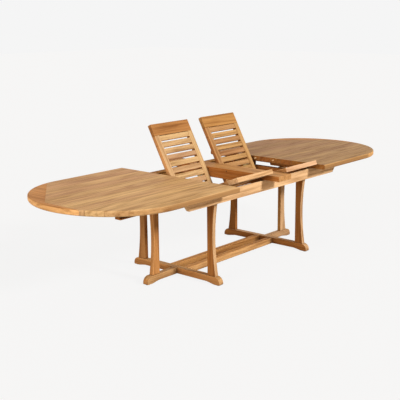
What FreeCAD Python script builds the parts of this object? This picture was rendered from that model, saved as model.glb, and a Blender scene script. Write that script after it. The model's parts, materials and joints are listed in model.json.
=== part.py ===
import FreeCAD, Part
import math
import os
import re

# Extending garden table in teak. Lengths are in millimetres and angles in degrees.
# X runs along the table, Y across it and Z up, with the origin on the floor under the table's middle.
# Rest is the half-open state: both tops pulled clear, both folding leaves standing half open.

# Driving dimensions, each set by itself
SIZES = {
    # the whole table
    "table_height": 740,
    "top_width": 1176,
    "top_thick": 39,
    "edge_ease": 2.5,
    "overrun": 20,
    # the two sliding tops
    "top_pull": 43,
    "top_straight": 642,
    "top_end_length": 530,
    "top_edge_radius": 11,
    "plank_count": 11,
    "plank_gap": 0.5,
    "end_piece_depth": 44,
    "end_bend_y": 95,
    "end_slant_run": 307,
    "end_slant_rise": 367,
    # runners and battens under the tops
    "runner_length": 962,
    "runner_thick": 38,
    "runner_depth": 28,
    "runner_setback": 2,
    "runner_play": 2,
    "tongue_height": 8,
    "tongue_depth": 8,
    "tongue_play": 0.5,
    "batten_width": 60,
    "batten_thick": 24,
    "batten_setback": 508,
    "batten_spacing": 285,
    "batten_end_gap": 25,
    # locating pins of the tops
    "pin_radius": 5,
    "pin_reach": 18,
    "pin_embed": 25,
    "pin_spacing": 182,
    "pin_drop": 17,
    "pin_clearance": 0.4,
    # centre board and beam
    "board_width": 156,
    "beam_depth": 41,
    # aprons
    "apron_inset": 148,
    "apron_thick": 27,
    "apron_drop": 5,
    "apron_depth": 83,
    "apron_overhang": 170,
    "apron_end_slant": 68,
    "apron_bevel": 7,
    "groove_drop": 19,
    "groove_spare": 1,
    # rails between the aprons
    "rail_drop": 71,
    "rail_depth": 36,
    "rail_thick": 40,
    "outer_rail_depth": 46,
    "outer_rail_relief": 19,
    "outer_rail_middle": 105,
    "relief_ramp": 12,
    "head_block_play": 2,
    # legs
    "leg_thick": 32,
    "leg_width": 76,
    "leg_waist": 25,
    "leg_inset": 126,
    "outer_leg_spread": 237,
    # feet and stretchers
    "foot_setout": 59,
    "foot_thick": 44,
    "foot_depth": 58,
    "foot_overhang": 41,
    "arm_overhang": 60,
    "toe_sole": 12,
    "heel_radius": 7,
    "toe_pad": 50,
    "arch_ramp": 70,
    "arch_rise": 12,
    "glide_radius": 15,
    "glide_thick": 4,
    "stretcher_gap": 86,
    "stretcher_thick": 48,
    "stretcher_depth": 46,
    # dowels in the base
    "dowel_radius": 6,
    "foot_dowel_length": 56,
    "head_dowel_length": 34,
    "side_dowel_length": 38,
    "dowel_play": 0.1,
    # folding leaves
    "leaf_end_gap": 3,
    "leaf_length": 413,
    "leaf_thick": 33,
    "leaf_gap": 2,
    "leaf_outer_rail": 94,
    "leaf_hinge_rail": 68,
    "leaf_stile": 48,
    "slat_count": 8,
    "slat_gap": 13,
    "slat_first_gap": 3,
    "slat_thick": 20,
    "slat_recess": 1.5,
    "bore_radius": 4,
    "bore_depth": 10,
    "bore_from_edge": 170,
    "leaf_far_angle": 61.5,
    "left_near_lift": 16,
    "right_near_lift": 4,
    # pivots of the far leaf halves
    "pivot_y": 147,
    "pivot_drop": 64,
    "pivot_radius": 5,
    "pivot_run_clearance": 0.05,
    "pivot_end_clearance": 0.3,
    "pivot_bolt_embed": 30,
    "pivot_plate_thick": 3,
    "pivot_plate_half": 16,
    "pivot_plate_cover": 8,
    "pivot_plate_play": 0.2,
    "pivot_block_half": 30,
    "pivot_block_headroom": 5,
    # hinges between the leaf halves
    "hinge_lift": 1,
    "hinge_length": 60,
    "hinge_spacing": 220,
    "hinge_plate_width": 28,
    "hinge_plate_thick": 2,
    "hinge_knuckle_radius": 4,
    "hinge_pin_radius": 2,
    "hinge_play": 0.5,
    "hinge_pin_clearance": 0.05,
}

# Places that several pieces share, worked out from the driving dimensions
PLACES = {
    "half_width": "top_width / 2",
    "board_half": "board_width / 2",
    "top_underside_z": "table_height - top_thick",
    # along the table: centre board, leaf, then the base and the top just beyond the leaf
    "leaf_inner_x": "board_half + leaf_end_gap",
    "leaf_outer_x": "leaf_inner_x + leaf_length",
    "top_inner_x": "leaf_outer_x + top_pull",
    "top_shoulder_x": "top_inner_x + top_straight",
    "runner_start_x": "top_inner_x + runner_setback",
    "foot_x": "leaf_outer_x + foot_setout",
    "outer_rail_x": "foot_x + outer_leg_spread",
    "arm_start_x": "foot_x + foot_thick / 2",
    "arm_length": "outer_rail_x + leg_width / 2 + arm_overhang - arm_start_x",
    "apron_half": "outer_rail_x + apron_overhang",
    # across the table
    "apron_outer_y": "half_width - apron_inset",
    "apron_inner_y": "apron_outer_y - apron_thick",
    "runner_outer_y": "apron_inner_y - runner_play",
    "runner_inner_y": "runner_outer_y - runner_thick",
    "leg_inner_y": "apron_outer_y - leg_inset",
    "leg_middle_y": "leg_inner_y + leg_width / 2",
    "foot_half": "leg_inner_y + leg_width + foot_overhang",
    "stretcher_y": "stretcher_gap / 2",
    "leaf_rail_y": "half_width - leaf_outer_rail",
    "leaf_inner_y": "leaf_gap / 2",
    # heights
    "apron_top_z": "top_underside_z - apron_drop",
    "groove_z": "apron_top_z - groove_drop",
    "groove_height": "tongue_height + 2 * tongue_play",
    "runner_bottom_z": "top_underside_z - runner_depth",
    "rail_bottom_z": "apron_top_z - rail_drop",
    "rail_top_z": "rail_bottom_z + rail_depth",
    "foot_top_z": "glide_thick + foot_depth",
    "toe_radius": "foot_depth - toe_sole",
    "arch_z": "glide_thick + arch_rise",
    "leg_height": "rail_bottom_z - foot_top_z",
    "side_dowel_z": "arch_z + stretcher_depth / 2",
    "pin_z": "table_height - pin_drop",
    "pivot_z": "table_height - pivot_drop",
    "hinge_z": "table_height + hinge_lift",
    "leaf_underside_z": "table_height - leaf_thick",
    # the hinge line of the half-open leaves, and the tilts that carry the near halves over the near apron
    "hinge_arm": "hinge_lift + pivot_drop",
    "hinge_line_y": "pivot_y - pivot_y * cos(leaf_far_angle) - hinge_arm * sin(leaf_far_angle)",
    "hinge_line_z": "pivot_z - pivot_y * sin(leaf_far_angle) + hinge_arm * cos(leaf_far_angle)",
    "near_run": "hinge_line_y + apron_inner_y",
    "near_depth": "hinge_lift + leaf_thick",
    "left_near_rise": "apron_top_z + left_near_lift - hinge_line_z",
    "right_near_rise": "apron_top_z + right_near_lift - hinge_line_z",
    "left_near_reach": "hypot(left_near_rise; near_run)",
    "left_near_tilt": "atan(left_near_rise / near_run) + asin(near_depth / left_near_reach)",
    "right_near_reach": "hypot(right_near_rise; near_run)",
    "right_near_tilt": "atan(right_near_rise / near_run) + asin(near_depth / right_near_reach)",
    # parts of a leaf half
    "panel_length": "leaf_length - 2 * leaf_stile",
    "stile_length": "leaf_rail_y - leaf_inner_y",
    "slat_field": "stile_length - leaf_hinge_rail - slat_first_gap",
    "slat_width": "slat_field / slat_count - slat_gap",
    # the circle that hollows a leg's outer edge
    "hollow_radius": "(leg_height^2 / 4 + leg_waist^2) / (2 * leg_waist)",
}

# A hinge's knuckles: the near plate has the middle share of its length, the far plate the two ends.
MIDDLE_KNUCKLE_SHARE = 0.36
KNUCKLE_TRIM_SHARE = 0.005

SIDES = (("left", -1), ("right", 1))
HALVES = (("far", 1), ("near", -1))

doc = FreeCAD.newDocument("ExtendingGardenTable")
sheet = doc.addObject("Spreadsheet::Sheet", "Sizes")
for row, (alias, size) in enumerate(SIZES.items(), start=1):
    sheet.set(f"A{row}", alias)
    sheet.set(f"B{row}", str(size))
    sheet.setAlias(f"B{row}", alias)
doc.recompute()

NODES = {}


# Helpers that bind document objects to the sheet

def sized(text):
    """Turn a sum of size and place names into an expression on the sheet's cells."""
    def cell(match):
        word = match.group(0)
        if word in PLACES:
            return f"({sized(PLACES[word])})"
        return f"Sizes.{word}" if word in SIZES else word
    return re.sub(r"[a-z_]+", cell, str(text))


def size_of(text):
    """The present value of a size, a place or a sum of them."""
    return float(sheet.evalExpression(sized(text)))


def bind(item, **values):
    for name, text in values.items():
        item.setExpression(name, sized(text))
    return item


def place(item, x, y, z):
    for axis, text in zip("xyz", (x, y, z)):
        item.setExpression(f"Placement.Base.{axis}", sized(text))
    return item


def low_end(sign, start, length):
    """The lower corner of a stretch that starts at start and runs outwards to either side."""
    return f"({start})" if sign > 0 else f"-({start}) - ({length})"


def box(name, size, corner):
    item = doc.addObject("Part::Box", name)
    bind(item, Length=size[0], Width=size[1], Height=size[2])
    return place(item, *corner)


def ease(body, base, name):
    """Round all edges of a body's only block softly."""
    doc.recompute()
    rounding = body.newObject("PartDesign::Fillet", name + "_rounding")
    rounding.Base = (base, [""])
    rounding.UseAllEdges = True
    bind(rounding, Radius="edge_ease")
    body.Tip = rounding


def eased_box(name, size, corner):
    """A board with softly rounded edges."""
    body = doc.addObject("PartDesign::Body", name)
    block = body.newObject("PartDesign::AdditiveBox", name + "_block")
    bind(block, Length=size[0], Width=size[1], Height=size[2])
    ease(body, block, name)
    return place(body, *corner)


TURNS = {
    "x": FreeCAD.Rotation(FreeCAD.Vector(0, 1, 0), 90),
    "y": FreeCAD.Rotation(FreeCAD.Vector(1, 0, 0), -90),
    "z": FreeCAD.Rotation(),
}

# Turns that stand a wedge up, its length along X or along Y
UPRIGHT = {
    "x": FreeCAD.Rotation(FreeCAD.Vector(1, 0, 0), 90),
    "y": FreeCAD.Rotation(FreeCAD.Vector(1, 1, 1), 120),
}


def rod(name, axis, radius, length, start):
    """A cylinder from its start point along one axis."""
    item = doc.addObject("Part::Cylinder", name)
    bind(item, Radius=radius, Height=length)
    item.Placement = FreeCAD.Placement(FreeCAD.Vector(), TURNS[axis])
    return place(item, *start)


def group(name, items):
    item = doc.addObject("Part::Compound", name)
    item.Links = items
    return item


def fuse(name, items):
    item = doc.addObject("Part::MultiFuse", name)
    item.Shapes = items
    return item


def cut(name, base, tools):
    item = doc.addObject("Part::Cut", name)
    item.Base = base
    item.Tool = tools[0] if len(tools) == 1 else group(name + "_tools", tools)
    return item


def node(name, item):
    item.Label = name
    NODES[name] = item
    return item


# Dowels hidden in the base, which also cut their own holes

def leg_places():
    """Each leg's name, the middle of its plan and whether it stands on an arm foot."""
    for side, sign in SIDES:
        for half, across in HALVES:
            yield f"{side}_{half}_leg", f"{sign} * foot_x", f"{across} * leg_middle_y", False
        yield f"{side}_outer_leg", f"{sign} * outer_rail_x", "0", True


def leg_dowels(name, play):
    """One upright dowel at the foot and one at the head of every leg."""
    rods = []
    for leg_name, x, y, _ in leg_places():
        for end, z in (("foot", "foot_top_z"), ("head", "rail_bottom_z")):
            length = f"({end}_dowel_length + 2 * {play})"
            start = (x, y, f"{z} - {length} / 2")
            rods.append(rod(f"{name}_{leg_name}_{end}", "z", f"dowel_radius + {play}", length, start))
    return rods


def side_dowels(name, play):
    """Level dowels that join the stretchers and the arm feet to the cross feet."""
    rods = []
    length = f"(side_dowel_length + 2 * {play})"
    for side, sign in SIDES:
        seats = [(half, "-", f"{across} * (stretcher_y + stretcher_thick / 2)") for half, across in HALVES]
        seats.append(("arm", "+", "0"))
        for seat, face, y in seats:
            x = f"{sign} * (foot_x {face} foot_thick / 2) - {length} / 2"
            start = (x, y, "side_dowel_z")
            rods.append(rod(f"{name}_{side}_{seat}", "x", f"dowel_radius + {play}", length, start))
    return rods


LEG_HOLES = group("leg_dowel_holes", leg_dowels("leg_hole", "dowel_play"))
SIDE_HOLES = group("side_dowel_holes", side_dowels("side_hole", "dowel_play"))


# The base: feet, legs, stretchers and glides

def toe_edges(shape, along, toes, level):
    """The names of the edges that cross a bar's toe ends at one height."""
    run = "xy".index(along)
    ends = {"low": 0, "high": (shape.BoundBox.XMax, shape.BoundBox.YMax)[run]}
    close = size_of("edge_ease")
    names = []
    for number, edge in enumerate(shape.Edges, start=1):
        middle = edge.CenterOfMass
        at_toe = any(abs(middle[run] - ends[toe]) < close for toe in toes)
        if at_toe and abs(middle.z - level) < close:
            names.append(f"Edge{number}")
    return names


def foot_arch(name, along, start, length, toes):
    """The cut below a foot bar, from pad to pad, with a ramp at each toe."""
    low_pad, low_ramp = ("toe_pad", "arch_ramp") if "low" in toes else ("(-overrun)", "0")
    high_pad, high_ramp = ("toe_pad", "arch_ramp") if "high" in toes else ("(-overrun)", "0")
    arch = doc.addObject("Part::Wedge", name + "_arch")
    bind(
        arch,
        Xmin=low_pad, Xmax=f"{length} - {high_pad}",
        X2min=f"{low_pad} + {low_ramp}", X2max=f"{length} - {high_pad} - {high_ramp}",
        Ymin="0", Ymax="arch_rise",
        Zmin="-overrun", Zmax="foot_thick + overrun",
        Z2min="-overrun", Z2max="foot_thick + overrun",
    )
    # the wedge's own Y points up once it is turned
    arch.Placement = FreeCAD.Placement(FreeCAD.Vector(), UPRIGHT[along])
    x, y = start
    return place(arch, x, f"{y} + foot_thick" if along == "x" else y, "glide_thick")


def foot(name, along, start, length, toes):
    """A foot bar on edge along X or Y, with an arch below.

    start is its lower corner, and toes lists the ends, low or high, that are rounded to a toe: widely at
    the top and a little at the bottom.
    """
    body = doc.addObject("PartDesign::Body", name + "_bar")
    base = body.newObject("PartDesign::AdditiveBox", name + "_block")
    run, thick = ("Length", "Width") if along == "x" else ("Width", "Length")
    bind(base, **{run: length, thick: "foot_thick", "Height": "foot_depth"})
    for end, radius, level in (("toe", "toe_radius", "foot_depth"), ("heel", "heel_radius", "0")):
        doc.recompute()
        rounding = body.newObject("PartDesign::Fillet", f"{name}_{end}_rounding")
        rounding.Base = (base, toe_edges(base.Shape, along, toes, size_of(level)))
        bind(rounding, Radius=radius)
        body.Tip = rounding
        base = rounding
    place(body, *start, "glide_thick")
    arch = foot_arch(name, along, start, length, toes)
    node(name, cut(name + "_bored", body, [arch, LEG_HOLES, SIDE_HOLES]))


def feet(side, sign):
    cross_start = (f"{sign} * foot_x - foot_thick / 2", "-foot_half")
    foot(f"{side}_cross_foot", "y", cross_start, "2 * foot_half", ("low", "high"))
    arm_start = (low_end(sign, "arm_start_x", "arm_length"), "-foot_thick / 2")
    foot(f"{side}_arm_foot", "x", arm_start, "arm_length", ("high",) if sign > 0 else ("low",))


def leg(name, x, y, on_arm):
    """A board leg with a straight inner edge and a hollowed outer edge."""
    size = ("leg_width", "leg_thick") if on_arm else ("leg_thick", "leg_width")
    corner = (f"{x} - {size[0]} / 2", f"{y} - {size[1]} / 2", "foot_top_z")
    board = eased_box(name + "_board", (*size, "leg_height"), corner)
    # the hollow's centre lies beyond the outer edge, away from the table's middle
    outwards = -1 if name.startswith("left" if on_arm else ("left_near", "right_near")) else 1
    beyond = f"{outwards} * (leg_width / 2 - leg_waist + hollow_radius)"
    length = "(leg_thick + 2 * overrun)"
    if on_arm:
        start = (f"{x} + {beyond}", f"{y} - {length} / 2")
    else:
        start = (f"{x} - {length} / 2", f"{y} + {beyond}")
    middle_z = "foot_top_z + leg_height / 2"
    hollow = rod(name + "_hollow", "y" if on_arm else "x", "hollow_radius", length, (*start, middle_z))
    node(name, cut(name + "_shaped", board, [hollow, LEG_HOLES]))


def stretchers():
    for half, across in HALVES:
        name = f"{half}_stretcher"
        bar = eased_box(
            name + "_bar",
            ("2 * foot_x - foot_thick", "stretcher_thick", "stretcher_depth"),
            ("foot_thick / 2 - foot_x", low_end(across, "stretcher_y", "stretcher_thick"), "arch_z"),
        )
        node(name, cut(name + "_bored", bar, [SIDE_HOLES]))


def glides():
    discs = []
    for side, sign in SIDES:
        spots = [(half, "foot_x", f"{across} * (foot_half - toe_pad / 2)") for half, across in HALVES]
        spots.append(("outer", "(arm_start_x + arm_length - toe_pad / 2)", "0"))
        for spot, x, y in spots:
            disc_start = (f"{sign} * {x}", y, "0")
            discs.append(rod(f"{side}_{spot}_glide", "z", "glide_radius", "glide_thick", disc_start))
    node("foot_glides", group("glide_discs", discs))


# The fixed frame above the legs

def apron(half, across):
    """A long side board with slanted ends and a groove inside for the runners' tongues.

    Its top slopes down inwards, so that the near leaf halves pass over it as they fold.
    """
    name = f"{half}_apron"
    body = doc.addObject("PartDesign::Body", name + "_board")
    wedge = body.newObject("PartDesign::AdditiveWedge", name + "_wedge")
    bind(
        wedge,
        Xmin="apron_end_slant - apron_half", Xmax="apron_half - apron_end_slant",
        X2min="-apron_half", X2max="apron_half",
        Ymin="0", Ymax="apron_depth",
        Zmin="0", Zmax="apron_thick",
        Z2min="0", Z2max="apron_thick",
    )
    ease(body, wedge, name)
    # stand the wedge up, its long edge on top
    body.Placement = FreeCAD.Placement(FreeCAD.Vector(), UPRIGHT["x"])
    high_face = "apron_outer_y" if across > 0 else "-apron_inner_y"
    place(body, "0", high_face, "apron_top_z - apron_depth")
    groove_reach = "overrun + tongue_depth + groove_spare"
    groove = box(
        name + "_groove",
        ("2 * apron_half + 2 * overrun", groove_reach, "groove_height"),
        (
            "-apron_half - overrun",
            low_end(across, "apron_inner_y - overrun", groove_reach),
            "groove_z - groove_height / 2",
        ),
    )
    bevel = doc.addObject("Part::Wedge", name + "_bevel")
    bind(
        bevel,
        Xmin="-apron_half - overrun", Xmax="apron_half + overrun",
        X2min="-apron_half - overrun", X2max="apron_half + overrun",
        Ymin="-apron_bevel", Ymax="apron_bevel",
        Zmin="0" if across > 0 else "-overrun", Zmax="overrun" if across > 0 else "0",
        Z2min="-2 * apron_thick" if across > 0 else "-overrun",
        Z2max="overrun" if across > 0 else "2 * apron_thick",
    )
    bevel.Placement = FreeCAD.Placement(FreeCAD.Vector(), UPRIGHT["x"])
    place(bevel, "0", f"{across} * apron_inner_y", "apron_top_z")
    node(name, cut(name + "_grooved", body, [groove, bevel]))


def cross_rail(name, x, depth):
    """A rail from apron to apron, which stands on the legs and passes below the runners."""
    bar = eased_box(
        name + "_bar",
        ("rail_thick", "2 * apron_inner_y", depth),
        (f"{x} - rail_thick / 2", "-apron_inner_y", "rail_bottom_z"),
    )
    return cut(name + "_bored", bar, [LEG_HOLES])


def rail_reliefs(name, x):
    """The cuts below an outer cross rail that leave it deep only over its leg."""
    reliefs = []
    for half, across in HALVES:
        relief = doc.addObject("Part::Wedge", f"{name}_{half}_relief")
        reach = "apron_inner_y + overrun"
        start, ramped = "outer_rail_middle", "outer_rail_middle + relief_ramp"
        bind(
            relief,
            Xmin=start if across > 0 else f"-({reach})", Xmax=reach if across > 0 else f"-({start})",
            X2min=ramped if across > 0 else f"-({reach})", X2max=reach if across > 0 else f"-({ramped})",
            Ymin="-overrun", Ymax="outer_rail_relief",
            Zmin="-overrun", Zmax="rail_thick + overrun",
            Z2min="-overrun", Z2max="rail_thick + overrun",
        )
        relief.Placement = FreeCAD.Placement(FreeCAD.Vector(), UPRIGHT["y"])
        reliefs.append(place(relief, f"{x} - rail_thick / 2", "0", "rail_bottom_z"))
    return reliefs


def cross_rails(side, sign):
    inner, outer = f"{side}_cross_rail", f"{side}_outer_cross_rail"
    node(inner, cross_rail(inner, f"{sign} * foot_x", "rail_depth"))
    x = f"{sign} * outer_rail_x"
    node(outer, cut(outer + "_relieved", cross_rail(outer, x, "outer_rail_depth"), rail_reliefs(outer, x)))


def head_blocks(side, sign):
    """Blocks on the inner cross rail above its legs, which keep the runners beside the aprons."""
    blocks = []
    for half, across in HALVES:
        width = "(runner_inner_y - head_block_play - leg_inner_y)"
        size = ("leg_thick", width, "top_underside_z - head_block_play - rail_top_z")
        corner = (f"{sign} * foot_x - leg_thick / 2", low_end(across, "leg_inner_y", width), "rail_top_z")
        blocks.append(eased_box(f"{side}_{half}_head_block", size, corner))
    return blocks


def centre_board_and_beam():
    board = eased_box(
        "centre_board_plank",
        ("board_width", "top_width", "top_thick"),
        ("-board_half", "-half_width", "top_underside_z"),
    )
    through = "board_width + 2 * overrun"
    sockets = [
        rod(
            f"centre_board_{half}_socket", "x", "pin_radius + pin_clearance", through,
            ("-board_half - overrun", f"{across} * pin_spacing / 2", "pin_z"),
        )
        for half, across in HALVES
    ]
    node("centre_board", cut("centre_board_bored", board, sockets))
    beam = eased_box(
        "centre_beam_bar",
        ("board_width", "2 * apron_inner_y", "beam_depth"),
        ("-board_half", "-apron_inner_y", "top_underside_z - beam_depth"),
    )
    bore = rod(
        "centre_beam_bore", "x", "pivot_radius + pivot_run_clearance", through,
        ("-board_half - overrun", "pivot_y", "pivot_z"),
    )
    node("centre_beam", cut("centre_beam_bored", beam, [bore]))


def pivots_and_blocks():
    """The rod through the centre beam, the outer bolts, and the blocks on the cross rails."""
    reach = "(leaf_inner_x + leaf_stile - pivot_end_clearance)"
    rods = [rod("pivot_rod", "x", "pivot_radius", f"2 * {reach}", (f"-{reach}", "pivot_y", "pivot_z"))]
    tip = "(leaf_outer_x - leaf_stile + pivot_end_clearance)"
    block_start = "(foot_x - rail_thick / 2)"
    bolt_length = f"({block_start} + pivot_bolt_embed - {tip})"
    blocks = []
    for side, sign in SIDES:
        bolt_start = (low_end(sign, tip, bolt_length), "pivot_y", "pivot_z")
        rods.append(rod(f"{side}_pivot_bolt", "x", "pivot_radius", bolt_length, bolt_start))
        blank = eased_box(
            f"{side}_pivot_block",
            ("rail_thick", "2 * pivot_block_half", "top_underside_z - pivot_block_headroom - rail_top_z"),
            (low_end(sign, block_start, "rail_thick"), "pivot_y - pivot_block_half", "rail_top_z"),
        )
        hole_length = "pivot_bolt_embed + overrun"
        hole_start = (low_end(sign, f"{block_start} - overrun", hole_length), "pivot_y", "pivot_z")
        hole = rod(f"{side}_block_hole", "x", "pivot_radius + pivot_run_clearance", hole_length, hole_start)
        blocks.append(cut(f"{side}_pivot_block_bored", blank, [hole]))
        blocks += head_blocks(side, sign)
    node("leaf_pivot_rods", group("pivot_rod_set", rods))
    node("rail_blocks", group("rail_block_set", blocks))


# The sliding tops

def top_blank():
    """The right-hand top before its planks are parted: straight sides, a half-oval end, rounded edges."""
    half_width = size_of("half_width")
    inner_x = size_of("top_inner_x")
    shoulder_x = size_of("top_shoulder_x")
    underside = size_of("top_underside_z")
    thick = size_of("top_thick")
    unit_circle = Part.Circle(FreeCAD.Vector(), FreeCAD.Vector(0, 0, 1), 1)
    half_circle = Part.ArcOfCircle(unit_circle, -math.pi / 2, math.pi / 2).toShape()
    stretch = FreeCAD.Matrix()
    stretch.scale(size_of("top_end_length"), half_width, 1)
    stretch.move(FreeCAD.Vector(shoulder_x, 0, underside))
    oval_end = half_circle.transformGeometry(stretch)
    corners = [
        FreeCAD.Vector(shoulder_x, half_width, underside),
        FreeCAD.Vector(inner_x, half_width, underside),
        FreeCAD.Vector(inner_x, -half_width, underside),
        FreeCAD.Vector(shoulder_x, -half_width, underside),
    ]
    straights = [Part.makeLine(a, b) for a, b in zip(corners, corners[1:])]
    blank = Part.Face(Part.Wire([oval_end] + straights)).extrude(FreeCAD.Vector(0, 0, thick))
    # every level edge but those of the inner face
    rounded = [
        edge for edge in blank.Edges
        if edge.BoundBox.ZLength < thick / 2 and edge.BoundBox.XLength > thick / 2
    ]
    return blank.makeFillet(size_of("top_edge_radius"), rounded)


def end_region(grow):
    """The plan area of the end piece, as a prism; grow widens it by the joint's gap."""
    joint_x = size_of("top_shoulder_x + top_end_length - end_piece_depth") - grow
    bend_y = size_of("end_bend_y") - grow
    reach = size_of("top_width")
    slant_x = joint_x - reach * size_of("end_slant_run / end_slant_rise")
    base_z = size_of("top_underside_z - overrun")
    plan = [(joint_x, -reach), (joint_x, bend_y), (slant_x, bend_y + reach)]
    plan += [(joint_x + reach, bend_y + reach), (joint_x + reach, -reach)]
    points = [FreeCAD.Vector(x, y, base_z) for x, y in plan]
    face = Part.Face(Part.makePolygon(points + points[:1]))
    return face.extrude(FreeCAD.Vector(0, 0, size_of("top_thick + 2 * overrun")))


def plank_gaps():
    """Thin upright slots along X where the planks of a top meet."""
    gap = size_of("plank_gap")
    length = size_of("top_straight + top_end_length + 2 * overrun")
    height = size_of("top_thick + 2 * overrun")
    start_x = size_of("top_inner_x - overrun")
    base_z = size_of("top_underside_z - overrun")
    count = int(size_of("plank_count"))
    slots = []
    for number in range(1, count):
        y = size_of("top_width") * number / count - size_of("half_width")
        corner = FreeCAD.Vector(start_x, y - gap / 2, base_z)
        slots.append(Part.makeBox(length, gap, height, corner))
    return slots


def pin_holes():
    """Holes for the locating pins in the inner edge of a top."""
    holes = []
    for _, across in HALVES:
        y = across * size_of("pin_spacing") / 2
        start = FreeCAD.Vector(size_of("top_inner_x - overrun"), y, size_of("pin_z"))
        depth = size_of("overrun + pin_embed")
        holes.append(Part.makeCylinder(size_of("pin_radius"), depth, start, FreeCAD.Vector(1, 0, 0)))
    return holes


def top_boards():
    """The right-hand top's planks and its end piece."""
    blank = top_blank()
    planks = blank.cut([end_region(size_of("plank_gap"))] + plank_gaps() + pin_holes())
    return planks, blank.common(end_region(0))


def runner(side, sign, half, across):
    """A bar under a top whose tongue slides in the apron's groove."""
    name = f"{side}_{half}_runner"
    x = low_end(sign, "runner_start_x", "runner_length")
    bar = box(
        name + "_bar",
        ("runner_length", "runner_thick", "runner_depth"),
        (x, low_end(across, "runner_inner_y", "runner_thick"), "runner_bottom_z"),
    )
    reach = "runner_play + tongue_depth"
    tongue = box(
        name + "_tongue",
        ("runner_length", reach, "tongue_height"),
        (x, low_end(across, "runner_outer_y", reach), "groove_z - tongue_height / 2"),
    )
    node(name, fuse(name + "_with_tongue", [bar, tongue]))


def sliding_top(side, sign, planks, end_piece):
    for name, shape in ((f"{side}_top_planks", planks), (f"{side}_top_end_piece", end_piece)):
        item = doc.addObject("Part::Feature", name)
        item.Shape = shape if sign > 0 else shape.mirror(FreeCAD.Vector(), FreeCAD.Vector(1, 0, 0))
        node(name, item)
    for half, across in HALVES:
        runner(side, sign, half, across)
    half_length = "(runner_inner_y - batten_end_gap)"
    battens = [
        eased_box(
            f"{side}_batten_{number}",
            ("batten_width", f"2 * {half_length}", "batten_thick"),
            (
                low_end(sign, f"top_inner_x + batten_setback + {number} * batten_spacing", "batten_width"),
                f"-{half_length}",
                "top_underside_z - batten_thick",
            ),
        )
        for number in range(2)
    ]
    node(f"{side}_top_battens", group(f"{side}_batten_pair", battens))
    pin_length = "(pin_reach + pin_embed)"
    pin_x = low_end(sign, "top_inner_x - pin_reach", pin_length)
    pins = []
    for half, across in HALVES:
        pin_start = (pin_x, f"{across} * pin_spacing / 2", "pin_z")
        pins.append(rod(f"{side}_{half}_pin", "x", "pin_radius", pin_length, pin_start))
    node(f"{side}_top_pins", group(f"{side}_pin_pair", pins))


# The folding leaves, made flat in the table top's plane and then turned to their resting angles

# Where the pivot plates start along X: at the faces of the two stiles that look at the panel
PLATE_STARTS = {
    "inner": "(leaf_inner_x + leaf_stile - pivot_plate_thick)",
    "outer": "(leaf_outer_x - leaf_stile)",
}


def turn_far(item):
    """Turn a piece of a far half about its pivot, outer edge up."""
    item.Placement = FreeCAD.Placement(FreeCAD.Vector(), FreeCAD.Rotation(FreeCAD.Vector(1, 0, 0), 1))
    bind(item, **{"Placement.Rotation.Angle": "leaf_far_angle"})
    y = "pivot_y - pivot_y * cos(leaf_far_angle) + pivot_z * sin(leaf_far_angle)"
    z = "pivot_z - pivot_y * sin(leaf_far_angle) - pivot_z * cos(leaf_far_angle)"
    return place(item, "0", y, z)


def turn_near(item, tilt):
    """Carry a piece of a near half with the hinge line and tilt its outer edge up, clear of the apron."""
    item.Placement = FreeCAD.Placement(FreeCAD.Vector(), FreeCAD.Rotation(FreeCAD.Vector(-1, 0, 0), 1))
    bind(item, **{"Placement.Rotation.Angle": tilt})
    return place(item, "0", f"hinge_line_y - hinge_z * sin({tilt})", f"hinge_line_z - hinge_z * cos({tilt})")


def leaf_node(side, half, piece, items):
    """A node of a leaf, made flat and then turned with its half."""
    name = f"{side}_leaf_{piece}"
    turned = group(name + "_turned", items)
    node(name, turn_far(turned) if half == "far" else turn_near(turned, f"{side}_near_tilt"))


def knuckle(name, x, share_from, share_to, radius):
    """A stretch of the hinge line, between two shares of the hinge's length."""
    length = f"hinge_length * {share_to - share_from}"
    start = f"{x} + hinge_length * {share_from} - hinge_length / 2"
    return rod(name, "x", radius, length, (start, "0", "hinge_z"))


def hinge_shares(half):
    """The shares of a hinge's length that a half's plate fills with knuckles, and those that it leaves."""
    low = (1 - MIDDLE_KNUCKLE_SHARE) / 2
    high = (1 + MIDDLE_KNUCKLE_SHARE) / 2
    ends, middle = [(0, low), (high, 1)], [(low, high)]
    return (ends, middle) if half == "far" else (middle, ends)


def hinge_plate(name, x, half, across):
    """One hinge plate with its knuckles, cleared round the other plate's knuckles and bored for the pin."""
    filled, left_open = hinge_shares(half)
    plate = box(
        name + "_plate",
        ("hinge_length", "hinge_plate_width", "hinge_plate_thick"),
        (
            f"{x} - hinge_length / 2",
            low_end(across, "0", "hinge_plate_width"),
            "table_height - hinge_plate_thick",
        ),
    )
    # the knuckles are a little short so that they turn past each other
    rounds = [
        knuckle(
            f"{name}_knuckle_{number}", x, low + KNUCKLE_TRIM_SHARE, high - KNUCKLE_TRIM_SHARE,
            "hinge_knuckle_radius",
        )
        for number, (low, high) in enumerate(filled)
    ]
    tools = [
        knuckle(f"{name}_clear_{number}", x, low, high, "hinge_knuckle_radius + hinge_play")
        for number, (low, high) in enumerate(left_open)
    ]
    tools.append(knuckle(name + "_bore", x, 0, 1, "hinge_pin_radius + hinge_pin_clearance"))
    return cut(name + "_bored", fuse(name + "_leaf", [plate] + rounds), tools)


def hinge_beds(name, x, across):
    """The beds of one hinge's plate and knuckles in a hinge rail."""
    length = "(hinge_length + 2 * hinge_play)"
    width = "hinge_plate_width + hinge_play"
    plate_bed = box(
        name + "_bed",
        (length, width, "hinge_plate_thick + overrun"),
        (f"{x} - {length} / 2", low_end(across, "0", width), "table_height - hinge_plate_thick"),
    )
    radius = "hinge_knuckle_radius + hinge_play"
    knuckle_bed = rod(name + "_knuckle_bed", "x", radius, length, (f"{x} - {length} / 2", "0", "hinge_z"))
    return [plate_bed, knuckle_bed]


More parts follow.
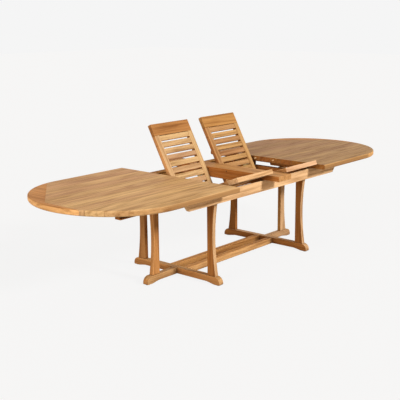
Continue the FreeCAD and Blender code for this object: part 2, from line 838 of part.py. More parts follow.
def hinge_side(side, sign, half, across):
    """A half's hinge rail between its stiles, with two hinge plates let into it."""
    name = f"{side}_leaf_{half}"
    board = eased_box(
        name + "_hinge_rail_board",
        ("panel_length", "leaf_hinge_rail", "leaf_thick"),
        (
            low_end(sign, "leaf_inner_x + leaf_stile", "panel_length"),
            low_end(across, "leaf_inner_y", "leaf_hinge_rail"),
            "leaf_underside_z",
        ),
    )
    beds = []
    plates = []
    pins = []
    for number, step in enumerate((-1, 1)):
        x = f"({sign} * (leaf_inner_x + leaf_length / 2) + {step} * hinge_spacing / 2)"
        mark = f"{name}_hinge_{number}"
        beds += hinge_beds(mark, x, across)
        plates.append(hinge_plate(mark, x, half, across))
        if half == "far":
            pins.append(knuckle(mark + "_pin", x, 0, 1, "hinge_pin_radius"))
    leaf_node(side, half, half + "_hinge_rail", [cut(name + "_hinge_rail_cut", board, beds)])
    leaf_node(side, half, half + "_hinge_plates", plates)
    if half == "far":
        leaf_node(side, half, "hinge_pins", pins)


def stiles(side, sign, half, across):
    """A half's two stiles, with short bores, sockets for the top's pins and beds for the pivot plates."""
    name = f"{side}_leaf_{half}"
    boards = []
    for end, start in (("inner", "leaf_inner_x"), ("outer", "(leaf_outer_x - leaf_stile)")):
        mark = f"{name}_{end}_stile"
        board = eased_box(
            mark,
            ("leaf_stile", "stile_length", "leaf_thick"),
            (
                low_end(sign, start, "leaf_stile"),
                low_end(across, "leaf_inner_y", "stile_length"),
                "leaf_underside_z",
            ),
        )

        def inwards(depth):
            """The lower X of a cut that goes in from the stile's open face."""
            return low_end(sign, "leaf_inner_x" if end == "inner" else f"leaf_outer_x - {depth}", depth)

        bore_start = (
            inwards("bore_depth"),
            f"{across} * (half_width - bore_from_edge)",
            "table_height - leaf_thick / 2",
        )
        tools = [rod(mark + "_bore", "x", "bore_radius", "bore_depth", bore_start)]
        if end == "outer":
            depth = "(pin_reach + pin_clearance)"
            socket_start = (inwards(depth), f"{across} * pin_spacing / 2", "pin_z")
            tools.append(rod(mark + "_socket", "x", "pin_radius + pin_clearance", depth, socket_start))
        if half == "far":
            bed_half = "(pivot_plate_half + pivot_plate_play)"
            bed_height = "leaf_thick - pivot_plate_cover + pivot_plate_play + overrun"
            bed_x = low_end(sign, PLATE_STARTS[end], "pivot_plate_thick")
            bed_corner = (bed_x, f"pivot_y - {bed_half}", "leaf_underside_z - overrun")
            bed_size = ("pivot_plate_thick", f"2 * {bed_half}", bed_height)
            tools.append(box(mark + "_plate_bed", bed_size, bed_corner))
        boards.append(cut(mark + "_cut", board, tools))
    leaf_node(side, half, half + "_stiles", boards)


def leaf_half(side, sign, half, across):
    name = f"{side}_leaf_{half}"
    rail = eased_box(
        name + "_outer_rail_board",
        ("leaf_length", "leaf_outer_rail", "leaf_thick"),
        (
            low_end(sign, "leaf_inner_x", "leaf_length"),
            low_end(across, "leaf_rail_y", "leaf_outer_rail"),
            "leaf_underside_z",
        ),
    )
    leaf_node(side, half, half + "_outer_rail", [rail])
    hinge_side(side, sign, half, across)
    stiles(side, sign, half, across)
    # slats across the panel, the first one close under the outer rail
    slats = []
    for number in range(int(size_of("slat_count"))):
        start = f"leaf_rail_y - slat_first_gap - {number} * (slat_width + slat_gap) - slat_width"
        slats.append(
            eased_box(
                f"{name}_slat_{number + 1}",
                ("panel_length", "slat_width", "slat_thick"),
                (
                    low_end(sign, "leaf_inner_x + leaf_stile", "panel_length"),
                    low_end(across, start, "slat_width"),
                    "table_height - slat_recess - slat_thick",
                ),
            )
        )
    leaf_node(side, half, half + "_slats", slats)


def pivot_plates(side, sign):
    """Plates let into a far half's stiles, on the panel's side, hanging below them to the pivot."""
    plates = []
    for end, start in PLATE_STARTS.items():
        mark = f"{side}_{end}_pivot_plate"
        x = low_end(sign, start, "pivot_plate_thick")
        strap = box(
            mark + "_strap",
            ("pivot_plate_thick", "2 * pivot_plate_half", "pivot_drop - pivot_plate_cover"),
            (x, "pivot_y - pivot_plate_half", "pivot_z"),
        )
        eye = rod(mark + "_eye", "x", "pivot_plate_half", "pivot_plate_thick", (x, "pivot_y", "pivot_z"))
        hole_length = "pivot_plate_thick + 2 * overrun"
        hole_start = (low_end(sign, f"{start} - overrun", hole_length), "pivot_y", "pivot_z")
        hole = rod(mark + "_hole", "x", "pivot_radius + pivot_run_clearance", hole_length, hole_start)
        plates.append(cut(mark + "_bored", fuse(mark + "_blank", [strap, eye]), [hole]))
    leaf_node(side, "far", "pivot_plates", plates)


# Build every piece

for side, sign in SIDES:
    feet(side, sign)
for leg_name, leg_x, leg_y, on_arm in leg_places():
    leg(leg_name, leg_x, leg_y, on_arm)
stretchers()
glides()
node("base_dowels", group("base_dowel_rods", leg_dowels("leg_dowel", "0") + side_dowels("side_dowel", "0")))

for half, across in HALVES:
    apron(half, across)
for side, sign in SIDES:
    cross_rails(side, sign)
centre_board_and_beam()
pivots_and_blocks()

right_planks, right_end_piece = top_boards()
for side, sign in SIDES:
    sliding_top(side, sign, right_planks, right_end_piece)
    for half, across in HALVES:
        leaf_half(side, sign, half, across)
    pivot_plates(side, sign)

doc.recompute()


# Check every object, then write one file for each node

for item in doc.Objects:
    if "Invalid" in item.State or "Error" in item.State:
        raise RuntimeError(f"{item.Name} failed to build: {item.State}")
for name, item in NODES.items():
    if item.Shape.isNull() or not item.Shape.isValid() or not item.Shape.Solids:
        raise RuntimeError(f"{name} has no valid solid")

os.makedirs("parts", exist_ok=True)
for name, item in NODES.items():
    item.Shape.exportStep(f"parts/{name}.step")
print(f"{len(NODES)} nodes written")
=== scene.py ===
import json
import math
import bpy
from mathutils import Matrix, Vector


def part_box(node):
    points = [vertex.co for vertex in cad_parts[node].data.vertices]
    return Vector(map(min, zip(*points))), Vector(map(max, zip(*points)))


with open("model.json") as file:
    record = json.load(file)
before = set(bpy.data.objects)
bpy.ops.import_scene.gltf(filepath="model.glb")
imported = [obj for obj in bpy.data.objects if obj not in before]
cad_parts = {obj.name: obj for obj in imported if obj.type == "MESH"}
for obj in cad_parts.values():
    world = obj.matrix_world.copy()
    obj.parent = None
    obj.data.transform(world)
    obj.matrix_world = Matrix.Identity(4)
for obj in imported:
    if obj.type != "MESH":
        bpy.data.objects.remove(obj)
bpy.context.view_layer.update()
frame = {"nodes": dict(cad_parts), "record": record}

import zlib
from collections import namedtuple

import bpy
from mathutils import Matrix, Vector

NODES = frame["nodes"]
JOINTS = {joint["name"]: joint for joint in frame["record"]["behaviour"]["joints"]}


def srgb(red, green, blue):
    """A colour given as it shows on screen, 0 to 255, as Blender's linear colour."""
    def linear(value):
        value /= 255
        return value / 12.92 if value <= 0.04045 else ((value + 0.055) / 1.055) ** 2.4
    return (linear(red), linear(green), linear(blue), 1.0)


class NodeTree:
    """A node tree, with short ways to add to it."""

    def __init__(self, tree):
        self.tree = tree

    def feed(self, socket, value):
        if isinstance(value, bpy.types.NodeSocket):
            self.tree.links.new(value, socket)
        else:
            socket.default_value = value

    def add(self, kind, inputs, **settings):
        node = self.tree.nodes.new(kind)
        for name, value in settings.items():
            setattr(node, name, value)
        for name, value in inputs.items():
            self.feed(node.inputs[name], value)
        return node

    def math(self, operation, first, second=0.0, **settings):
        return self.add("ShaderNodeMath", {0: first, 1: second}, operation=operation, **settings).outputs[0]

    def total(self, *weighted):
        """The sum of values, each with its weight."""
        result = 0.0
        for value, weight in weighted:
            inputs = {0: value, 1: weight, 2: result}
            result = self.add("ShaderNodeMath", inputs, operation="MULTIPLY_ADD").outputs[0]
        return result

    def span(self, value, low, high, to_low=0.0, to_high=1.0):
        """Map a stretch of values onto another, with soft ends."""
        inputs = {"Value": value, "From Min": low, "From Max": high, "To Min": to_low, "To Max": to_high}
        return self.add("ShaderNodeMapRange", inputs, interpolation_type="SMOOTHSTEP").outputs[0]

    def mix(self, factor, first, second):
        return self.add("ShaderNodeMix", {0: factor, 6: first, 7: second}, data_type="RGBA").outputs[2]

    def vector(self, x, y, z):
        return self.add("ShaderNodeCombineXYZ", {"X": x, "Y": y, "Z": z}).outputs[0]

    def part(self, vector, axis):
        """A vector's part along X, Y or Z."""
        return self.add("ShaderNodeSeparateXYZ", {"Vector": vector}).outputs[axis]

    def turn(self, vector, angle, centre=(0, 0, 0)):
        """Turn a vector about an axis along X."""
        inputs = {"Vector": vector, "Center": centre, "Angle": angle}
        return self.add("ShaderNodeVectorRotate", inputs, rotation_type="X_AXIS").outputs[0]

    def noise(self, vector, scale=1.0, detail=3.0, roughness=0.5):
        inputs = {"Vector": vector, "Scale": scale, "Detail": detail, "Roughness": roughness}
        return self.add("ShaderNodeTexNoise", inputs).outputs[0]

    def ramp(self, factor, stops, interpolation="LINEAR"):
        node = self.add("ShaderNodeValToRGB", {"Fac": factor})
        node.color_ramp.interpolation = interpolation
        elements = node.color_ramp.elements
        while len(elements) < len(stops):
            elements.new(1.0)
        for element, (position, colour) in zip(elements, stops):
            element.position = position
            element.color = colour
        return node.outputs[0]


class Finish(NodeTree):
    """A new material's nodes, with the place and the normal of the point that is shaded."""

    def __init__(self, name):
        self.material = bpy.data.materials.new(name)
        self.material.use_nodes = True
        super().__init__(self.material.node_tree)
        self.surface = self.tree.nodes["Principled BSDF"]
        coordinates = self.add("ShaderNodeTexCoord", {}).outputs
        self.place, self.normal = coordinates["Object"], coordinates["Normal"]

    def set(self, **inputs):
        """Set the surface's own sockets, named in words joined by underscores."""
        for name, value in inputs.items():
            self.feed(self.surface.inputs[name.replace("_", " ")], value)

    def bump(self, height, strength, distance):
        inputs = {"Strength": strength, "Distance": distance, "Height": height}
        self.set(Normal=self.add("ShaderNodeBump", inputs).outputs[0])


# Tones of wood

# What is left of the red, green, blue and alpha of a middle tone in its dark tone, and in its light tone
DARK_SHARES = (0.62, 0.54, 0.46, 1.0)
LIGHT_SHARES = (1.22, 1.27, 1.32, 1.0)


def shades(red, green, blue):
    """A wood's dark, middle and light tones, from the middle one as it shows on screen."""
    middle = srgb(red, green, blue)
    dark = tuple(value * share for value, share in zip(middle, DARK_SHARES))
    light = tuple(value * share for value, share in zip(middle, LIGHT_SHARES))
    return dark, middle, light


HONEY = shades(200, 160, 112)
TAN = shades(167, 131, 91)
PALE = shades(228, 186, 138)
# Painted light: a lighter tone for lit rims and the left slats' undersides
LIT_SIDE_GOLD = shades(232, 176, 114)
WHEAT = shades(194, 158, 113)
OLIVE = shades(177, 135, 87)
# Painted light on a lit near edge and the right slats' undersides, and painted shade on other faces
LIGHT_AND_SHADE_GINGER = shades(202, 150, 94)
UMBER = shades(175, 126, 71)
CHESTNUT = shades(164, 113, 64)
RUSSET = shades(188, 133, 79)
LEG = shades(194, 154, 112)
STRETCHER = shades(207, 159, 104)
TOE = shades(198, 155, 105)
BOARD = shades(188, 139, 87)
# Painted shade: darker tones for shaded faces and for pieces in shade
SHADE_RUST = shades(187, 131, 76)
SHADE_COPPER = shades(172, 110, 54)
SHADE_BARK = shades(154, 98, 47)
RIM = shades(172, 128, 84)
# Painted shade: a darker tone for the stretchers' shaded faces
SHADE_AMBER = shades(195, 141, 82)
SAND = shades(213, 170, 132)
# Painted shade: a darker tone for the far legs' shaded faces
SHADE_PEAT = shades(133, 83, 37)


# Which wood each piece is made of

# Boards that lie side by side in one node: the axis that they are counted along, where the first one
# starts, the step from one to the next, how light each is, and how dark the joints between them are
Boards = namedtuple("Boards", "axis start pitch values joint_share")

# How much painted shade a wood takes deep in a corner, and between the slats of a leaf
CORNER_SHADE_SHARE = 0.7
SLAT_CORNER_SHADE_SHARE = 0.25

# A wooden node: the axis of its grain, its tones, its boards, the painted light and shade tones of the
# faces that look along an axis, where they are others, and how much painted shade it takes in corners
Wood = namedtuple("Wood", "along tones boards sides crevice_share", defaults=(None, {}, CORNER_SHADE_SHARE))

PLANK_VALUES = (1.07, 1.02, 1.06, 0.97, 1.05, 0.96, 1.02, 0.92, 0.99, 0.90, 0.95)
PLANK_JOINT_SHARE = 0.7
STILE_VALUES = (0.96, 1.05)
LEFT_SLAT_VALUES = (1.08, 1.01, 1.0, 0.84, 1.06, 0.95, 1.04, 0.93)
RIGHT_SLAT_VALUES = (0.96, 1.05, 0.94, 1.06, 0.90, 1.04, 0.97, 1.07)
SLAT_GAP = 0.013
OPEN_JOINT_SHARE = 0.0

# Painted shade: the legs' faces that look along these axes take darker, richer tones than their lit faces
LEG_SHADED_SIDES = {
    "left_outer_leg": {"X": SHADE_RUST, "Y": SHADE_RUST},
    "left_near_leg": {"X": SHADE_BARK},
    "left_far_leg": {"X": CHESTNUT, "Y": SHADE_PEAT},
    "right_outer_leg": {"X": UMBER},
    "right_near_leg": {"X": SHADE_BARK},
    "right_far_leg": {"X": SHADE_PEAT, "Y": SHADE_BARK},
}


def turn_of(name):
    """How a node of a leaf was turned from flat: the angle that turns it back, and about which point.

    A leaf lies flat at the lower limit of its fold.
    """
    if "_leaf_" not in name:
        return None
    side = name.split("_")[0]
    fold, hinge = JOINTS[f"{side}_leaf_fold"], JOINTS[f"{side}_leaf_hinge"]
    far_angle = math.radians(-fold["range_deg"][0])
    if "_leaf_near_" in name:
        return math.radians(-hinge["range_deg"][0]) - far_angle, hinge["pos_m"]
    return -far_angle, fold["pos_m"]


def flat_span(name):
    """The stretch across the table that a node of a leaf takes up when the leaf lies flat."""
    angle, centre = turn_of(name)
    turn, centre = Matrix.Rotation(angle, 3, "X"), Vector(centre)
    places = [(turn @ (vertex.co - centre) + centre).y for vertex in NODES[name].data.vertices]
    return min(places), max(places)


def planks_of(name):
    low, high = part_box(name)
    return Boards("Y", low[1], (high[1] - low[1]) / len(PLANK_VALUES), PLANK_VALUES, PLANK_JOINT_SHARE)


def stiles_of(name):
    """The two stiles of a leaf half, one in each half of its length."""
    low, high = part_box(name)
    return Boards("X", low[0], (high[0] - low[0]) / len(STILE_VALUES), STILE_VALUES, OPEN_JOINT_SHARE)


def slats_of(name, values):
    """The slats of a leaf half, counted on the flat leaf from its outer rail to its hinge."""
    low, high = flat_span(name)
    pitch = (high - low + SLAT_GAP) / len(values)
    if "_near_" in name:
        return Boards("Y", low - SLAT_GAP / 2, pitch, values, OPEN_JOINT_SHARE)
    return Boards("Y", high + SLAT_GAP / 2, -pitch, values, OPEN_JOINT_SHARE)


def wood_of(name):
    """The wood of a node, from its name."""
    left = name.startswith("left")
    if name.endswith("_top_planks"):
        # The left top's near edge takes a darker tone; the right top has painted shade on its inner end and
        # painted light on its near edge
        sides = {"Y": RIM} if left else {"X": SHADE_BARK, "Y": LIGHT_AND_SHADE_GINGER}
        return Wood("X", HONEY if left else TAN, planks_of(name), sides)
    if name.endswith("_end_piece"):
        # Painted light: the end piece's rim is lighter than its top
        return Wood("Y", RUSSET, None, {"X": LIT_SIDE_GOLD, "Y": LIT_SIDE_GOLD})
    if "_leaf_" in name:
        return leaf_wood(name, left)
    if name.endswith(("_leg", "_foot")):
        return base_wood(name, left)
    if name in ("centre_beam", "centre_board"):
        # Painted shade on the faces that look along X
        return Wood("Y", BOARD, None, {"X": SHADE_COPPER})
    # Painted shade: the pieces under the tops take a dark tone
    if name.endswith(("_cross_rail", "_battens")):
        return Wood("Y", SHADE_BARK)
    if name.endswith("_runner") or name == "rail_blocks":
        return Wood("X", SHADE_BARK)
    if name == "near_apron":
        return Wood("X", PALE)
    # Painted shade on the near stretcher's top and all over the far stretcher
    if name == "near_stretcher":
        return Wood("X", STRETCHER, None, {"Z": SHADE_AMBER})
    if name == "far_stretcher":
        return Wood("X", SHADE_AMBER)
    return Wood("X", UMBER)


def leaf_wood(name, left):
    leaf = WHEAT if left else OLIVE
    if name.endswith("_slats"):
        slats = slats_of(name, LEFT_SLAT_VALUES if left else RIGHT_SLAT_VALUES)
        # Painted light on the slats' undersides, and less painted shade between the slats
        return Wood("X", leaf, slats, {"Y": LIT_SIDE_GOLD if left else LIGHT_AND_SHADE_GINGER}, SLAT_CORNER_SHADE_SHARE)
    if name.endswith("_stiles"):
        # Painted light and shade on the stiles' faces that look along X
        return Wood("Y", leaf, stiles_of(name), {"X": LIGHT_AND_SHADE_GINGER if left else SHADE_RUST})
    if name.endswith("_near_outer_rail"):
        # Painted shade on the right near outer rail's faces that look along X
        return Wood("X", PALE) if left else Wood("X", SAND, None, {"X": LIGHT_AND_SHADE_GINGER})
    if name.endswith("_far_outer_rail"):
        return Wood("X", CHESTNUT if left else UMBER)
    return Wood("X", leaf)


def base_wood(name, left):
    """Legs and feet."""
    if name.endswith("_leg"):
        return Wood("Z", LEG, None, LEG_SHADED_SIDES[name])
    along = "X" if name.endswith("_arm_foot") else "Y"
    # Painted shade on the feet's faces that look along X, and on the left feet's tops
    if left:
        return Wood(along, TOE, None, {"X": SHADE_RUST, "Z": OLIVE})
    return Wood(along, LEG, None, {"X": SHADE_BARK})


# Teak

# A layer of the grain: how fine it is along the grain and across it, its detail and its roughness
Layer = namedtuple("Layer", "along across detail roughness")
STREAKS = Layer(along=1.3, across=58.0, detail=5.0, roughness=0.6)
BLOTCH = Layer(along=2.2, across=11.0, detail=2.0, roughness=0.5)
FIBRE = Layer(along=9.0, across=330.0, detail=4.0, roughness=0.6)
PORES = Layer(along=42.0, across=900.0, detail=1.0, roughness=0.5)
WARP = Layer(along=0.9, across=6.0, detail=2.0, roughness=0.5)

# What each layer adds to the tone, and where the dark, middle and light tones stand in the sum
STREAK_SHARE = 0.48
BLOTCH_SHARE = 0.26
FIBRE_SHARE = 0.26
FIGURE_SHARE = 0.035
TONE_STOPS = (0.39, 0.50, 0.62)

# The figure's rings: how far they waver and how close they lie
FIGURE_WARP = 40.0
FIGURE_PITCH = 110.0

# Where most values of a noise lie
NOISE_RANGE = (0.3, 0.7)

# Each board's grain is moved on by this much, and each node's by a whole number below the count
GRAIN_SHIFT = 7.31
SEED_COUNT = 100

# A darker board is a little redder too
BOARD_VALUE_RANGE = (0.84, 1.08)
BOARD_HUES = (0.488, 0.504)
JOINT_SHADE_WIDTH = 0.005

# How squarely a face looks along an axis before it takes that axis's tones of painted light and shade, or
# counts as an end
LIT_SHADED_SIDE_RANGE = (0.5, 0.85)
END_RANGE = (0.75, 0.95)

PORE_RANGE = (0.62, 0.72)
PORE_SHARE = 0.3
RING_SCALE = 70.0
RING_RANGE = (0.35, 0.65)
RING_SHARE = 0.25

# Wear and a painted highlight show where the rounded edge turns away from the face, and more on the light
# streaks
WEAR_HIGHLIGHT_RADIUS = 0.004
WEAR_HIGHLIGHT_TURN = (0.985, 0.80)
WEAR_HIGHLIGHT_STREAKS = (0.35, 0.6)
WEAR_HIGHLIGHT_SHARES = (0.2, 0.6)

# Painted shade gathers in corners, where little of the open air is left
CORNER_SHADE_REACH = 0.10
CORNER_SHADE_OPENNESS = (0.86, 0.23)
CORNER_SHADE_TONE = srgb(74, 38, 14)
RAY_SAMPLES = 4

SHEEN = 0.06
TEAK_ROUGHNESS = (0.62, 0.46)
FIBRE_RELIEF = 1.0
FIGURE_RELIEF = 0.1
PORE_RELIEF = -0.6
TEAK_BUMP = 0.35
TEAK_RELIEF_DEPTH = 0.0006

# A point in the wood: along the grain, across it, in its depth, and how far its board's grain is moved on
Point = namedtuple("Point", "along across depth shift")


def board_number(teak, place, boards):
    """The number of a point's board, and the distance from the board's nearer long edge."""
    from_start = teak.math("SUBTRACT", teak.part(place, boards.axis), boards.start)
    steps = teak.math("DIVIDE", from_start, boards.pitch)
    number = teak.math("FLOOR", steps)
    inside = teak.math("SUBTRACT", steps, number)
    edge = teak.math("MINIMUM", inside, teak.math("SUBTRACT", 1.0, inside))
    return number, teak.math("MULTIPLY", edge, abs(boards.pitch))


def board_value(teak, number, values):
    """How light a point's board is, read from a ramp that holds half of each value."""
    count = len(values)
    stops = [(index / count, (value / 2, value / 2, value / 2, 1.0)) for index, value in enumerate(values)]
    middle = teak.math("DIVIDE", teak.math("ADD", number, 0.5), count)
    return teak.math("MULTIPLY", teak.ramp(middle, stops, "CONSTANT"), 2.0)


def grain(teak, point, layer):
    """One layer of the grain, drawn out along it."""
    place = teak.vector(
        teak.total((point.along, layer.along), (1.0, point.shift)),
        teak.total((point.across, layer.across), (1.0, point.shift)),
        teak.math("MULTIPLY", point.depth, layer.across),
    )
    return teak.noise(place, detail=layer.detail, roughness=layer.roughness)


def grain_figure(teak, point):
    """Rings that waver along the board."""
    warp = grain(teak, point, WARP)
    return teak.math(
        "SINE", teak.total((warp, FIGURE_WARP), (point.across, FIGURE_PITCH), (point.depth, FIGURE_PITCH))
    )


def facing(teak, normal, axis):
    """How squarely a face looks along an axis, either way."""
    return teak.math("ABSOLUTE", teak.part(normal, axis))


def toned(teak, wood, mixed, normal):
    """The mixed grain in the wood's tones, and in tones of painted light and shade on the faces that have
    their own.
    """
    colour = teak.ramp(mixed, tuple(zip(TONE_STOPS, wood.tones)))
    for axis, tones in wood.sides.items():
        lit_shaded_colour = teak.ramp(mixed, tuple(zip(TONE_STOPS, tones)))
        colour = teak.mix(teak.span(facing(teak, normal, axis), *LIT_SHADED_SIDE_RANGE), colour, lit_shaded_colour)
    return colour


def boarded(teak, colour, wood, number, from_edge):
    """Each board in its own lightness, and the dark joints between them."""
    value = board_value(teak, number, wood.boards.values)
    hue = teak.span(value, *BOARD_VALUE_RANGE, *BOARD_HUES)
    colour = teak.add("ShaderNodeHueSaturation", {"Hue": hue, "Value": value, "Color": colour}).outputs[0]
    joint = teak.span(from_edge, 0.0, JOINT_SHADE_WIDTH, wood.boards.joint_share, 0.0)
    return teak.mix(joint, colour, wood.tones[0])


def end_rings(teak, point, end_face):
    """How dark the rings on an end face are."""
    rings = teak.noise(teak.vector(point.across, point.depth, point.shift), RING_SCALE)
    ring_shade = teak.span(rings, *RING_RANGE, RING_SHARE, 0.0)
    return teak.math("MULTIPLY", teak.span(end_face, *END_RANGE), ring_shade)


def edge_wear_and_highlight(teak, streaks):
    """How much wear and painted highlight a point has, along the sharp edges of a piece."""
    rounded = teak.add("ShaderNodeBevel", {"Radius": WEAR_HIGHLIGHT_RADIUS}, samples=RAY_SAMPLES).outputs[0]
    flat = teak.add("ShaderNodeNewGeometry", {}).outputs["Normal"]
    agreement = teak.add("ShaderNodeVectorMath", {0: rounded, 1: flat}, operation="DOT_PRODUCT")
    worn_and_lit = teak.span(agreement.outputs["Value"], *WEAR_HIGHLIGHT_TURN)
    return teak.math("MULTIPLY", worn_and_lit, teak.span(streaks, *WEAR_HIGHLIGHT_STREAKS, *WEAR_HIGHLIGHT_SHARES))


def painted_corner_shade(teak, share):
    """How much painted shade a point takes, from how far it lies in a corner."""
    around = teak.add("ShaderNodeAmbientOcclusion", {"Distance": CORNER_SHADE_REACH}, samples=RAY_SAMPLES)
    return teak.span(around.outputs["AO"], *CORNER_SHADE_OPENNESS, 0.0, share)


def oiled_teak(name, wood, turn):
    """Oiled teak: long streaks, fine fibres, a faint figure, pores, dark end grain, edges with wear and a
    painted highlight, painted shade in corners, and painted light and shade on some faces.
    """
    teak = Finish("teak_" + name)
    place, normal = teak.place, teak.normal
    if turn:
        angle, centre = turn
        place, normal = teak.turn(place, angle, centre), teak.turn(normal, angle)

    shift = zlib.crc32(name.encode()) % SEED_COUNT
    if wood.boards:
        number, from_edge = board_number(teak, place, wood.boards)
        shift = teak.total((number, GRAIN_SHIFT), (1.0, shift))
    first = "XYZ".index(wood.along)
    point = Point(*(teak.part(place, (first + step) % 3) for step in range(3)), shift)

    streaks, blotch, fibre = (grain(teak, point, layer) for layer in (STREAKS, BLOTCH, FIBRE))
    pores = teak.span(grain(teak, point, PORES), *PORE_RANGE)
    figure = grain_figure(teak, point)
    mixed = teak.total(
        (streaks, STREAK_SHARE), (blotch, BLOTCH_SHARE), (fibre, FIBRE_SHARE), (figure, FIGURE_SHARE)
    )

    dark, _, light = wood.tones
    # Painted light and shade on faces that look along an axis
    colour = toned(teak, wood, mixed, normal)
    if wood.boards:
        colour = boarded(teak, colour, wood, number, from_edge)
    colour = teak.mix(teak.math("MULTIPLY", pores, PORE_SHARE), colour, dark)
    colour = teak.mix(end_rings(teak, point, facing(teak, normal, wood.along)), colour, dark)
    # Wear and a painted highlight on the edges
    colour = teak.mix(edge_wear_and_highlight(teak, streaks), colour, light)
    # Painted shade in corners
    colour = teak.mix(painted_corner_shade(teak, wood.crevice_share), colour, CORNER_SHADE_TONE)

    teak.set(Base_Color=colour, Specular_IOR_Level=SHEEN)
    teak.set(Roughness=teak.span(fibre, *NOISE_RANGE, *TEAK_ROUGHNESS))
    relief = teak.total((fibre, FIBRE_RELIEF), (figure, FIGURE_RELIEF), (pores, PORE_RELIEF))
    teak.bump(relief, TEAK_BUMP, TEAK_RELIEF_DEPTH)
    return teak.material


# Metal and plastic

# A mottled finish: its two colours, where they stand in the noise that mixes them, that noise's scale and
# detail, the roughness of each end, and the scale, strength and depth of its relief
Mottle = namedtuple("Mottle", "colours stops scale detail roughness metallic bump_scale bump bump_depth")
BUMP_DETAIL = 2.0

# Dull brass, darker in patches, with fine scratches
BRASS = Mottle(
    colours=(srgb(164, 130, 78), srgb(226, 196, 134)), stops=(0.3, 0.7), scale=90.0, detail=4.0,
    roughness=(0.5, 0.3), metallic=1.0, bump_scale=700.0, bump=0.15, bump_depth=0.0002,
)

# Pale tan pins, a little uneven and matt
PALE_NYLON = Mottle(
    colours=(srgb(214, 172, 116), srgb(236, 200, 148)), stops=(0.3, 0.7), scale=120.0, detail=3.0,
    roughness=(0.55, 0.4), metallic=0.0, bump_scale=800.0, bump=0.15, bump_depth=0.0002,
)

# Moulded plastic with a fine pebbled face
BLACK_PLASTIC = Mottle(
    colours=(srgb(24, 24, 25), srgb(44, 43, 42)), stops=(0.35, 0.7), scale=900.0, detail=2.0,
    roughness=(0.7, 0.5), metallic=0.0, bump_scale=900.0, bump=0.3, bump_depth=0.0003,
)


def mottled(name, mottle):
    finish = Finish(name)
    clouds = finish.noise(finish.place, mottle.scale, mottle.detail)
    finish.set(Base_Color=finish.ramp(clouds, tuple(zip(mottle.stops, mottle.colours))))
    finish.set(Roughness=finish.span(clouds, *NOISE_RANGE, *mottle.roughness), Metallic=mottle.metallic)
    relief = finish.noise(finish.place, mottle.bump_scale, BUMP_DETAIL)
    finish.bump(relief, mottle.bump, mottle.bump_depth)
    return finish.material


# The table

SOFT_EDGE = 0.0025
SOFT_EDGE_SEGMENTS = 2
SOFT_EDGE_ANGLE = math.radians(40)


def dress_nodes():
    brass = mottled("brass", BRASS)
    plastic = mottled("black_plastic", BLACK_PLASTIC)
    nylon = mottled("pale_nylon", PALE_NYLON)
    for name, node in NODES.items():
        if name == "foot_glides":
            material = plastic
        elif name.endswith("_top_pins"):
            material = nylon
        elif name == "leaf_pivot_rods" or name.endswith(("_pins", "_plates")):
            material = brass
        else:
            material = oiled_teak(name, wood_of(name), turn_of(name))
        node.material_slots[0].material = material


def soften_feet():
    """Round the feet's long edges a little."""
    for name, node in NODES.items():
        if name.endswith("_foot"):
            rounding = node.modifiers.new("soft_edges", "BEVEL")
            rounding.width = SOFT_EDGE
            rounding.segments = SOFT_EDGE_SEGMENTS
            rounding.limit_method = "ANGLE"
            rounding.angle_limit = SOFT_EDGE_ANGLE


dress_nodes()
soften_feet()


# Floor, world and lights

BACKGROUND = srgb(245, 245, 245)
FLOOR_SIZE = 60.0
FLOOR_GLOW = srgb(251, 251, 251)
FLOOR_PAPER = srgb(200, 198, 195)
FLOOR_SHADOW_SHARE = 0.10
AMBIENT = 0.44
AMBIENT_TINT = (1.0, 0.80, 0.58, 1.0)

# The lamps: strength, the direction that the light comes from and how wide the lamp looks
Lamp = namedtuple("Lamp", "strength towards width")
LAMPS = {
    "key": Lamp(2.7, Vector((0.10, -0.87, 0.48)), math.radians(10)),
    "fill": Lamp(1.6, Vector((-0.96, -0.10, 0.25)), math.radians(25)),
}


def emptied(owner):
    """The node tree of a material or a world, with nothing in it."""
    owner.use_nodes = True
    owner.node_tree.nodes.clear()
    return NodeTree(owner.node_tree)


def seen_directly(nodes):
    """One for rays that show the background: from the camera, a reflection or glass."""
    rays = nodes.add("ShaderNodeLightPath", {}).outputs
    shown = rays["Is Camera Ray"]
    for name in ("Is Glossy Ray", "Is Transmission Ray"):
        shown = nodes.math("ADD", shown, rays[name], use_clamp=True)
    return shown


def make_floor():
    bpy.ops.mesh.primitive_plane_add(size=FLOOR_SIZE)
    floor = bpy.context.object
    floor.name = "floor"
    paper = bpy.data.materials.new("floor_paper")
    nodes = emptied(paper)
    plain = nodes.add("ShaderNodeEmission", {"Color": FLOOR_GLOW}).outputs[0]
    lit = nodes.add("ShaderNodeBsdfDiffuse", {"Color": FLOOR_PAPER}).outputs[0]
    share = nodes.math("MULTIPLY", seen_directly(nodes), 1.0 - FLOOR_SHADOW_SHARE)
    mixed = nodes.add("ShaderNodeMixShader", {0: share, 1: lit, 2: plain}).outputs[0]
    nodes.add("ShaderNodeOutputMaterial", {"Surface": mixed})
    floor.data.materials.append(paper)


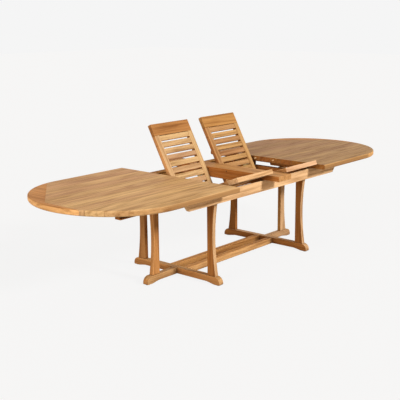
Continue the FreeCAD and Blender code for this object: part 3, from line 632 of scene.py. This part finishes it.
def make_world():
    world = bpy.data.worlds.new("studio")
    bpy.context.scene.world = world
    nodes = emptied(world)
    shown = nodes.add("ShaderNodeBackground", {"Color": BACKGROUND}).outputs[0]
    ambient = nodes.add("ShaderNodeBackground", {"Color": AMBIENT_TINT, "Strength": AMBIENT}).outputs[0]
    mixed = nodes.add("ShaderNodeMixShader", {0: seen_directly(nodes), 1: ambient, 2: shown}).outputs[0]
    nodes.add("ShaderNodeOutputWorld", {"Surface": mixed})


def make_lamps():
    for name, lamp in LAMPS.items():
        sun = bpy.data.objects.new(name, bpy.data.lights.new(name, "SUN"))
        sun.data.energy = lamp.strength
        sun.data.angle = lamp.width
        sun.rotation_euler = lamp.towards.to_track_quat("Z", "Y").to_euler()
        bpy.context.scene.collection.objects.link(sun)


make_floor()
make_world()
make_lamps()
bpy.context.scene.view_settings.view_transform = "Standard"


# Camera, at the photograph's viewing angle

IMAGE_SIZE = 400
FOCAL_PIXELS = 807.2
CENTRE_PIXEL = (223.73, 208.69)
AZIMUTH = math.radians(-50.47)
ELEVATION = math.radians(13.593)
ROLL = math.radians(-0.182)
DISTANCE = 6.3755
TARGET = Vector((0, 0, 0.40))


def make_camera():
    back = Vector((
        math.sin(AZIMUTH) * math.cos(ELEVATION),
        -math.cos(AZIMUTH) * math.cos(ELEVATION),
        math.sin(ELEVATION),
    ))
    level = Vector((math.cos(AZIMUTH), math.sin(AZIMUTH), 0))
    upright = back.cross(level)
    right = math.cos(ROLL) * level + math.sin(ROLL) * upright
    up = back.cross(right)
    turn = Matrix((right, up, back)).transposed()
    lens = bpy.data.cameras.new("camera")
    lens.lens = FOCAL_PIXELS * lens.sensor_width / IMAGE_SIZE
    lens.shift_x = (IMAGE_SIZE / 2 - CENTRE_PIXEL[0]) / IMAGE_SIZE
    lens.shift_y = (CENTRE_PIXEL[1] - IMAGE_SIZE / 2) / IMAGE_SIZE
    camera = bpy.data.objects.new("camera", lens)
    camera.matrix_world = Matrix.Translation(TARGET + DISTANCE * back) @ turn.to_4x4()
    bpy.context.scene.collection.objects.link(camera)
    bpy.context.scene.camera = camera


make_camera()
